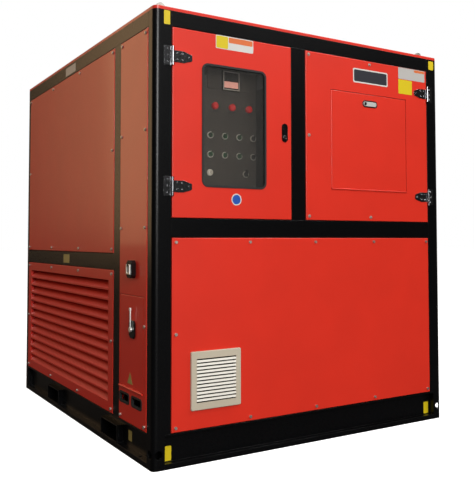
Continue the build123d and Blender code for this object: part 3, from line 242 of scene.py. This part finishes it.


# Plain label vinyl: grounds in white and pale grey, fields in yellow, orange, blue and slate,
# small tags in a darker straw yellow, and black marks
WHITE_VINYL = vinyl("white_vinyl", "#C9C6C0", tone=0.02)
YELLOW_VINYL = vinyl("yellow_vinyl", "#CDB512")
ORANGE_VINYL = vinyl("orange_vinyl", "#CF6A36")
BLUE_VINYL = vinyl("blue_vinyl", "#1E4FA3")
PALE_VINYL = vinyl("pale_grey_vinyl", "#B0ACA7")
STRAW_VINYL = vinyl("dark_straw_vinyl", "#9C8A4A", roughness=0.45, tone=0.05)
SLATE_VINYL = vinyl("slate_vinyl", "#2A2B31")
# Black vinyl, also used for the painted shade in the fascia's seams
BLACK_VINYL_AND_SEAM_SHADE = vinyl("black_vinyl_and_seam_shade", "#17171A")


def pane(name, tint, ior, roughness):
    """A clear sheet that lets light into the bay behind it: shadow rays pass, the rest refracts."""
    made, tree, shader, output, place = blank_material(name)
    shader.inputs["Base Color"].default_value = linear(tint)
    shader.inputs["Transmission Weight"].default_value = 1
    shader.inputs["IOR"].default_value = ior
    smears = noise(tree, place, 60, 3.0)
    smeared = ramp(tree, smears.outputs["Fac"], roughness, roughness * 2.5)
    tree.links.new(smeared, shader.inputs["Roughness"])
    clear = add_node(tree, "ShaderNodeBsdfTransparent", {"Color": linear(tint)})
    path = add_node(tree, "ShaderNodeLightPath")
    both = add_node(
        tree,
        "ShaderNodeMixShader",
        {0: path.outputs["Is Shadow Ray"], 1: shader.outputs["BSDF"], 2: clear.outputs["BSDF"]},
    )
    tree.links.new(both.outputs["Shader"], output.inputs["Surface"])
    return made


# Grey-tinted polycarbonate window: dims the bay a little and mirrors the room faintly
WINDOW = pane("tinted_polycarbonate", "#C6C2BC", 1.58, 0.01)


def glow(name, colour, strength):
    """A lit display field, slightly uneven."""
    made, tree, shader, _, place = blank_material(name)
    flicker = noise(tree, place, 2.5, 1.0)
    shader.inputs["Base Color"].default_value = linear(colour)
    shader.inputs["Emission Color"].default_value = linear(colour)
    uneven = ramp(tree, flicker.outputs["Fac"], strength * 0.8, strength * 1.2)
    tree.links.new(uneven, shader.inputs["Emission Strength"])
    return made


# Lit field of the digital meter, a washed-out pink behind its red filter
DISPLAY = glow("lit_display", "#E8A79C", 0.6)

node_materials = {
    "base_side_rails": BLACK, "base_cross_rails": BLACK, "fork_pocket_tubes": BLACK,
    "floor_plate": GALVANISED, "frame_posts": BLACK, "frame_rails": BLACK, "panel_stops": BLACK,
    "roof_cap": RED, "exhaust_grille": BLACK, "lifting_eyes": ZINC, "lower_front_panel": RED,
    "vent_grille": VENT, "side_panels": RED, "rear_panels": RED, "louvre_panels": RED,
    "louvre_blades": RED, "bulkhead": GALVANISED, "fan_deck": GALVANISED, "fan_motors": MOTOR_GREY,
    "fan_rotor_left": CAST_ALUMINIUM, "fan_rotor_right": CAST_ALUMINIUM, "resistor_trays": GALVANISED,
    "resistor_elements": ALLOY, "contactors": THERMOSET, "load_busbars": COPPER, "service_panel": RED,
    "cable_port_bushes": RUBBER, "panel_screws": ZINC, "control_tray": BLACK,
    "control_fascia": FASCIA, "load_meter": BLACK_PLASTIC, "pilot_lamps": LENS,
    "switch_bezels": NICKEL, "mode_selector": BLACK_PLASTIC, "key_switch": NICKEL,
    "control_door": RED, "door_window": WINDOW, "window_seal": RUBBER,
    "control_door_straps": CHROME, "hinge_leaves": CHROME, "door_latch_cup": BLACK_PLASTIC,
    "door_latch_paddle": BLACK_PLASTIC, "access_door": RED, "access_door_straps": CHROME,
    "access_hatch": RED, "hatch_latch_cup": CHROME, "hatch_latch_paddle": NICKEL,
    "connection_door": RED, "connection_latch_base": BLACK_PLASTIC, "connection_latch_lever": NICKEL,
    "service_latch_base": BLACK_PLASTIC, "service_latch_ring": NICKEL,
}
# The last switch of each row of four is black, the others green
for number in range(1, 9):
    node_materials[f"load_switch_{number}"] = BLACK_PLASTIC if number in (4, 8) else GREEN_CAP
for node, made in node_materials.items():
    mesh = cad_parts[node].data
    mesh.materials.clear()
    mesh.materials.append(made)


# ------------------------------------------------------------------ building pieces
def new_piece(name, mesh_or_bmesh, material, body):
    """A finished mesh as a piece that moves with a CAD body."""
    if isinstance(mesh_or_bmesh, bmesh.types.BMesh):
        mesh = bpy.data.meshes.new(name)
        mesh_or_bmesh.to_mesh(mesh)
        mesh_or_bmesh.free()
    else:
        mesh = mesh_or_bmesh
    piece = bpy.data.objects.new(name, mesh)
    bpy.context.scene.collection.objects.link(piece)
    if material is not None:
        mesh.materials.clear()
        mesh.materials.append(material)
    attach(piece, body)


def facing(outward):
    """A rotation that turns +Z to the outward direction and keeps +Y up on a wall."""
    if outward is UP:
        return Matrix.Identity(3)
    side = UP.cross(outward)
    return Matrix((side, UP, outward)).transposed()


def slab(bm, centre, across, high, thick, outward, corner=0.0):
    """A plate lying on a face: its size along the face, its height up it, and its thickness out."""
    made = bmesh.ops.create_cube(bm, size=1)
    verts = made["verts"]
    scale = Matrix.Diagonal((across, high, thick))
    for vert in verts:
        vert.co = scale @ (vert.co + Vector((0, 0, 0.5)))
    if corner:
        upright = [
            edge for edge in {e for v in verts for e in v.link_edges}
            if abs((edge.verts[0].co - edge.verts[1].co).normalized().z) > 0.9
        ]
        cut = bmesh.ops.bevel(bm, geom=upright, offset=corner, segments=4, affect="EDGES")
        verts = list({v for face in cut["faces"] for v in face.verts} | {v for v in verts if v.is_valid})
    turn = facing(outward)
    for vert in verts:
        vert.co = turn @ vert.co + centre


def plate(
    name, low, high, material, body, depth=DOOR_Y, thick=LABEL_THICK, corner=2.0, outward=FRONT
):
    """A plate by two corners in millimetres: (x, z) on a front face, or (y, z) on a left one."""
    bm = bmesh.new()
    along, up = (low[0] + high[0]) / 2, (low[1] + high[1]) / 2
    centre = mm(along, depth, up) if outward is FRONT else mm(depth, along, up)
    across, tall = high[0] - low[0], high[1] - low[1]
    slab(bm, centre, across * MM, tall * MM, thick * MM, outward, corner * MM)
    new_piece(name, bm, material, body)


def field(name, low, high, material, body, corner=2.0):
    """A thin coloured field on a door label's ground."""
    plate(name, low, high, material, body, depth=FIELD_Y, thick=FIELD_THICK, corner=corner)


def turned(profile, steps=24):
    """A mesh revolved round Z from (radius, height) pairs in millimetres."""
    bm = bmesh.new()
    rings = []
    for radius, height in profile:
        ring = []
        for step in range(steps):
            angle = 2 * math.pi * step / steps
            ring.append(bm.verts.new(mm(radius * math.cos(angle), radius * math.sin(angle), height)))
        rings.append(ring)
    for low, high in zip(rings, rings[1:]):
        for step in range(steps):
            other = (step + 1) % steps
            bm.faces.new((low[step], low[other], high[other], high[step]))
    bm.faces.new(list(reversed(rings[0])))
    bm.faces.new(rings[-1])
    mesh = bpy.data.meshes.new("turned")
    bm.to_mesh(mesh)
    bm.free()
    return mesh


# Repeats a shape on points: instances, turned to the face they stand on, made real with one material
repeat_tree = bpy.data.node_groups.new("repeat_on_points", "GeometryNodeTree")
sockets = (
    ("Points", "Geometry"), ("Shape", "Object"), ("Turn", "Rotation"), ("Finish", "Material")
)
for name, kind in sockets:
    repeat_tree.interface.new_socket(name, in_out="INPUT", socket_type=f"NodeSocket{kind}")
repeat_tree.interface.new_socket("Geometry", in_out="OUTPUT", socket_type="NodeSocketGeometry")
given = add_node(repeat_tree, "NodeGroupInput").outputs
shape_info = add_node(repeat_tree, "GeometryNodeObjectInfo", {"Object": given["Shape"]})
copies = add_node(
    repeat_tree,
    "GeometryNodeInstanceOnPoints",
    {"Points": given["Points"], "Instance": shape_info.outputs["Geometry"], "Rotation": given["Turn"]},
)
real = add_node(repeat_tree, "GeometryNodeRealizeInstances", {"Geometry": copies.outputs["Instances"]})
painted = add_node(
    repeat_tree,
    "GeometryNodeSetMaterial",
    {"Geometry": real.outputs["Geometry"], "Material": given["Finish"]},
)
add_node(repeat_tree, "NodeGroupOutput", {"Geometry": painted.outputs["Geometry"]})
repeat_socket = {
    item.name: item.identifier
    for item in repeat_tree.interface.items_tree
    if item.in_out == "INPUT"
}


def repeat(name, points, shape_mesh, outward, material, body):
    """Copies of a mesh standing on a face at the given places, as one plain mesh piece."""
    shape = bpy.data.objects.new("shape", shape_mesh)
    cloud_mesh = bpy.data.meshes.new("points")
    cloud_mesh.from_pydata([tuple(point) for point in points], [], [])
    cloud = bpy.data.objects.new("points", cloud_mesh)
    for helper in (shape, cloud):
        bpy.context.scene.collection.objects.link(helper)
    modifier = cloud.modifiers.new("repeat", "NODES")
    modifier.node_group = repeat_tree
    modifier[repeat_socket["Shape"]] = shape
    modifier[repeat_socket["Turn"]] = facing(outward).to_euler()
    modifier[repeat_socket["Finish"]] = material
    bpy.context.view_layer.update()
    graph = bpy.context.evaluated_depsgraph_get()
    mesh = bpy.data.meshes.new_from_object(cloud.evaluated_get(graph), depsgraph=graph)
    for helper in (cloud, shape):
        bpy.data.objects.remove(helper)
    new_piece(name, mesh, None, body)


# ------------------------------------------------------------------ screws and latch details
captive_head = turned(
    [(8.5, 0), (8.5, 1.2), (6.0, 1.4), (6.0, 4.2), (5.2, 5.0), (2.2, 5.0), (2.0, 3.6)], 24
)
hinge_screw_head = turned([(4.6, 0), (4.4, 0.9), (3.2, 1.7), (1.8, 1.9), (1.7, 1.0)], 18)
lock_ring = turned([(9.0, 0), (9.0, 1.6), (8.0, 2.2), (6.6, 2.2), (6.4, 1.2)], 28)

# Captive screws down the access door's free edge, and in the middle of its top and bottom
edge_x, middle_x = -35.5, 364.0
top_z, middle_z, bottom_z = 1896, 1494.5, 1094.5
captive_places = [
    (edge_x, top_z), (middle_x, top_z), (edge_x, middle_z), (edge_x, bottom_z), (middle_x, bottom_z)
]
captive_points = [mm(x, DOOR_Y, z) for x, z in captive_places]
repeat("access_door_captive_screws", captive_points, captive_head, FRONT, ZINC, "access_door")

# Screws of the strap hinges, set out from the pin's line along the strap and along the fixed leaf
PIN_X, HINGE_HEIGHTS = 784.25, (1784, 1212)
STRAP_Y, LEAF_Y = DOOR_Y - 3, FRAME_Y - 3
STRAP_SCREWS = ((24, 14), (24, -14), (48, 14), (48, -14), (82, 0))
LEAF_SCREWS = ((22, 28), (22, 0), (22, -28))
for side, body in ((-1, "control_door"), (1, "access_door")):
    strap_points = []
    leaf_points = []
    for height in HINGE_HEIGHTS:
        for reach, rise in STRAP_SCREWS:
            strap_points.append(mm(side * (PIN_X - reach), STRAP_Y, height + rise))
        for reach, rise in LEAF_SCREWS:
            leaf_points.append(mm(side * (PIN_X + reach), LEAF_Y, height + rise))
    repeat(f"{body}_strap_screws", strap_points, hinge_screw_head, FRONT, CHROME, body)
    repeat(f"{body}_leaf_screws", leaf_points, hinge_screw_head, FRONT, CHROME, "cabinet")

# Lock cylinders in both paddles, each a chrome ring round a sunken face
PADDLE_Y = -1015
for name, x, z, body in (
    ("door_lock", -183, 1470, "door_latch"), ("hatch_lock", 332, 1687, "hatch_latch")
):
    repeat(f"{name}_ring", [mm(x, PADDLE_Y, z)], lock_ring, FRONT, CHROME, body)

# Two hexagon bolts on the foot of each lifting eye
EYE_X, EYE_Y, EYE_FOOT_Z, BOLT_REACH = 805, 930, 2006, 27
bolt_head = turned([(8, 0), (8, 5.5), (7, 6.5)], 6)
eye_bolts = [
    mm(side * EYE_X + reach, end * EYE_Y, EYE_FOOT_Z)
    for side in (-1, 1)
    for end in (-1, 1)
    for reach in (-BOLT_REACH, BOLT_REACH)
]
repeat("lifting_eye_bolts", eye_bolts, bolt_head, UP, ZINC, "cabinet")

# ------------------------------------------------------------------ bare label plates
plate("upper_label_ground", (-565, 1851), (-362, 1913), WHITE_VINYL, "control_door", corner=3)
field("upper_label_field", (-562, 1854), (-500, 1910), YELLOW_VINYL, "control_door")
field("upper_label_band", (-496, 1884), (-366, 1909), ORANGE_VINYL, "control_door")
plate("name_plate_ground", (251, 1792), (492, 1867), WHITE_VINYL, "access_door", corner=4)
field("name_plate_field", (258, 1799), (485, 1860), SLATE_VINYL, "access_door", corner=3)
plate("data_label", (571, 1849), (770, 1912), PALE_VINYL, "access_door")
field("data_label_band", (690, 1896), (768, 1909), ORANGE_VINYL, "access_door")
plate("caution_label", (571, 1768), (672, 1846), YELLOW_VINYL, "access_door")

# Bright corner tags on the posts and the skid
plate("corner_tag_top_left", (-824, 1921), (-794, 1982), YELLOW_VINYL, "cabinet", depth=FRAME_Y)
plate("corner_tag_top_right", (804, 1927), (842, 1976), YELLOW_VINYL, "cabinet", depth=FRAME_Y)
for name, inner, outer in (("left", -801, -767), ("right", 767, 801)):
    plate(
        f"corner_tag_base_{name}", (inner, 27), (outer, 90), YELLOW_VINYL, "cabinet", depth=BASE_Y
    )

# Tags on the left side's rails and skid
for name, low, high, material, depth in (
    ("side_tag_top", (34, 1926), (206, 1972), PALE_VINYL, FRAME_X),
    ("side_tag_middle", (112, 850), (216, 898), STRAW_VINYL, FRAME_X),
    ("side_tag_base", (-716, 52), (-676, 100), STRAW_VINYL, BASE_X),
):
    plate(name, low, high, material, "cabinet", depth=depth, outward=LEFT)

# Round label under the window, and a three-cornered tag on the connection door
ROUND_X, ROUND_Z, ROUND_THICK = -455, 1163, 0.4
for name, y, radius, thick, material in (
    ("round_label_ground", DOOR_Y, 27, ROUND_THICK, WHITE_VINYL),
    ("round_label_field", DOOR_Y - ROUND_THICK, 22, FIELD_THICK, BLUE_VINYL),
):
    disc = turned([(radius, 0), (radius, thick)], 48)
    repeat(name, [mm(ROUND_X, y, ROUND_Z)], disc, FRONT, material, "control_door")
tag = turned([(34, 0), (34, 0.5)], 3)
tag.transform(Matrix.Rotation(math.radians(90), 4, "Z"))
repeat("connection_door_tag", [mm(PANEL_X, -770, 346)], tag, LEFT, STRAW_VINYL, "connection_door")

# ------------------------------------------------------------------ filter vent
VENT_LEFT, VENT_RIGHT, VENT_LOW, VENT_HIGH = -665, -465, 262, 462
FLEECE_Y = -1003
# Each slat's face leans in towards its top, over a flat back
SLATS, SLAT_PITCH, SLAT_HALF = 12, 15.4, 4.6
SLAT_FOOT_Y, SLAT_TOP_Y, SLAT_BACK_Y = -1023.9, -1023.1, -1022.9
# The fleece sheet behind the slots, its near-black colour a painted shade
plate(
    "vent_fleece", (VENT_LEFT, VENT_LOW), (VENT_RIGHT, VENT_HIGH), FLEECE, "cabinet",
    depth=FLEECE_Y, thick=1.0, corner=0
)
slat_faces = bmesh.new()
for slat in range(SLATS):
    middle = (VENT_LOW + VENT_HIGH) / 2 + (slat - (SLATS - 1) / 2) * SLAT_PITCH
    foot, top = middle - SLAT_HALF, middle + SLAT_HALF
    outline = ((VENT_LEFT, foot), (VENT_RIGHT, foot), (VENT_RIGHT, top), (VENT_LEFT, top))
    depths = (SLAT_FOOT_Y, SLAT_FOOT_Y, SLAT_TOP_Y, SLAT_TOP_Y)
    front = [slat_faces.verts.new(mm(x, y, z)) for (x, z), y in zip(outline, depths)]
    rear = [slat_faces.verts.new(mm(x, SLAT_BACK_Y, z)) for x, z in outline]
    slat_faces.faces.new(front)
    slat_faces.faces.new(list(reversed(rear)))
    for corner in range(4):
        after = (corner + 1) % 4
        slat_faces.faces.new((front[after], front[corner], rear[corner], rear[after]))
new_piece("vent_slat_faces", slat_faces, SLAT, "cabinet")

# ------------------------------------------------------------------ meter and fascia
bay_x, bay_z = -463, 1494.5
fascia_y, meter_y = -915, -923
meter_x, meter_z = -430, bay_z + 237
controls_x, lamp_pitch, switch_pitch = -423, 94, 79
for name, half, low, high, material in (
    ("meter_screen", 40, 0, 40, BLACK_VINYL_AND_SEAM_SHADE),
    ("meter_display", 38, -34, -4, DISPLAY),
):
    corners = (meter_x - half, meter_z + low), (meter_x + half, meter_z + high)
    plate(name, *corners, material, "cabinet", depth=meter_y, corner=1)
meter_trim = bmesh.new()
for dx, dz, wide, tall in ((0, 42.5, 90, 5), (0, -42.5, 90, 5), (-42.5, 0, 5, 80), (42.5, 0, 5, 80)):
    slab(meter_trim, mm(meter_x + dx, meter_y, meter_z + dz), wide * MM, tall * MM, 2.6 * MM, FRONT)
new_piece("meter_trim", meter_trim, TRIM, "cabinet")

# Three long black strips on the fascia as painted shade in the seams between its plates, and a bare mark
# under each lamp and one under each switch
marks = [(bay_x, z, 352, tall) for z, tall in ((1659, 2.5), (1547, 3), (1532, 3))]
marks += [(controls_x + step * lamp_pitch, 1580, 62, 6) for step in (-1, 0, 1)]
marks += [
    (controls_x + step * switch_pitch, bay_z + rise, 34, 5)
    for step in (-1.5, -0.5, 0.5, 1.5)
    for rise in (-62, -152)
]
fascia_marks = bmesh.new()
for x, z, wide, tall in marks:
    slab(fascia_marks, mm(x, fascia_y, z), wide * MM, tall * MM, 0.4 * MM, FRONT)
new_piece("fascia_marks", fascia_marks, BLACK_VINYL_AND_SEAM_SHADE, "cabinet")
plate(
    "bay_wall_plate", (-984, 1703), (-925, 1779), SLATE_VINYL, "cabinet", depth=-285, thick=2,
    outward=LEFT
)

# ------------------------------------------------------------------ stage, lamps and camera
# The floor is white to the camera and keeps the shadow; what reflects in the paint is darker
FLOOR_HALF = 60
floor_paint, tree, shader, _, _ = blank_material("white_paper")
shader.inputs["Roughness"].default_value = 0.9
path = add_node(tree, "ShaderNodeLightPath")
tone = add_node(
    tree,
    "ShaderNodeMix",
    {"Factor": path.outputs["Is Camera Ray"], 6: linear("#262626"), 7: linear("#F4F4F4")},
    data_type="RGBA",
)
tree.links.new(tone.outputs[2], shader.inputs["Base Color"])
shader.inputs["Emission Color"].default_value = (1, 1, 1, 1)
lift = ramp(tree, path.outputs["Is Camera Ray"], 0.0, 0.76, 0.0, 1.0)
tree.links.new(lift, shader.inputs["Emission Strength"])
floor_bm = bmesh.new()
bmesh.ops.create_grid(floor_bm, x_segments=1, y_segments=1, size=FLOOR_HALF)
floor_mesh = bpy.data.meshes.new("floor")
floor_bm.to_mesh(floor_mesh)
floor_bm.free()
floor_mesh.materials.append(floor_paint)
floor = bpy.data.objects.new("floor", floor_mesh)
bpy.context.scene.collection.objects.link(floor)
floor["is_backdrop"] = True

scene = bpy.context.scene
scene.view_settings.view_transform = "Standard"
world = bpy.data.worlds.new("studio")
scene.world = world
world.use_nodes = True
tree = world.node_tree
tree.nodes.clear()
path = add_node(tree, "ShaderNodeLightPath")
seen = add_node(tree, "ShaderNodeBackground", {"Color": (1, 1, 1, 1), "Strength": 1.0})
lit = add_node(tree, "ShaderNodeBackground", {"Color": linear("#E6E2DC"), "Strength": 0.42})
# In reflections the white room shows overhead, and a dark hall stands round it at eye level
heading = add_node(tree, "ShaderNodeTexCoord").outputs["Generated"]
height = add_node(tree, "ShaderNodeSeparateXYZ", {"Vector": heading}).outputs["Z"]
mirrored = add_node(
    tree,
    "ShaderNodeBackground",
    {"Color": linear("#E4E0DA"), "Strength": ramp(tree, height, 0.03, 1.0, 0.32, 0.75)},
)
unseen = add_node(
    tree,
    "ShaderNodeMixShader",
    {0: path.outputs["Is Glossy Ray"], 1: lit.outputs[0], 2: mirrored.outputs[0]},
)
# Straight to the camera, or through the window, the room is plain white
straight = add_node(
    tree,
    "ShaderNodeMath",
    {0: path.outputs["Is Camera Ray"], 1: path.outputs["Is Transmission Ray"]},
    operation="MAXIMUM",
)
mixed = add_node(
    tree, "ShaderNodeMixShader", {0: straight.outputs[0], 1: unseen.outputs[0], 2: seen.outputs[0]}
)
add_node(tree, "ShaderNodeOutputWorld", {"Surface": mixed.outputs[0]})


def area_light(name, place, target, size, power, colour="#FFFFFF"):
    """A rectangular lamp aimed at a target, in metres and watts."""
    lamp = bpy.data.lights.new(name, "AREA")
    lamp.shape = "RECTANGLE"
    lamp.size, lamp.size_y = size
    lamp.energy = power
    lamp.color = linear(colour)[:3]
    light = bpy.data.objects.new(name, lamp)
    light.location = place
    light.rotation_mode = "QUATERNION"
    light.rotation_quaternion = (Vector(target) - Vector(place)).to_track_quat("-Z", "Y")
    scene.collection.objects.link(light)


# A broad key from the front left, a fill overhead, a glint for the right edges, and a warm wall
# behind the left that the side panels mirror
area_light("key", (-1.9, -8.4, 3.4), (0.1, -1.0, 1.0), (3.6, 3.0), 545)
area_light("top", (0.4, -0.8, 6.0), (0, 0, 0), (4.0, 3.0), 90)
area_light("edge_glint", (3.4, -3.8, 5.6), (0.2, -1.0, 1.2), (1.6, 1.2), 130)
area_light("warm_wall", (-4.8, 6.4, 3.3), (-0.9, -0.4, 1.0), (2.4, 5.0), 120, "#E6BC8C")

camera_data = bpy.data.cameras.new("camera")
camera = bpy.data.objects.new("camera", camera_data)
scene.collection.objects.link(camera)
camera_data.sensor_width = 36
camera_data.lens = 51.79
camera_data.shift_y = -0.0652
yaw, pitch, roll = math.radians(31.618), math.radians(2.490), math.radians(-0.060)
forward = Vector((math.sin(yaw) * math.cos(pitch), math.cos(yaw) * math.cos(pitch), math.sin(pitch)))
camera.location = (-2.1194, -3.7241, 0.9769)
camera.rotation_mode = "QUATERNION"
tilt = Matrix.Rotation(roll, 3, "Z").to_quaternion()
camera.rotation_quaternion = forward.to_track_quat("-Z", "Y") @ tilt
scene.camera = camera

low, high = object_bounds()
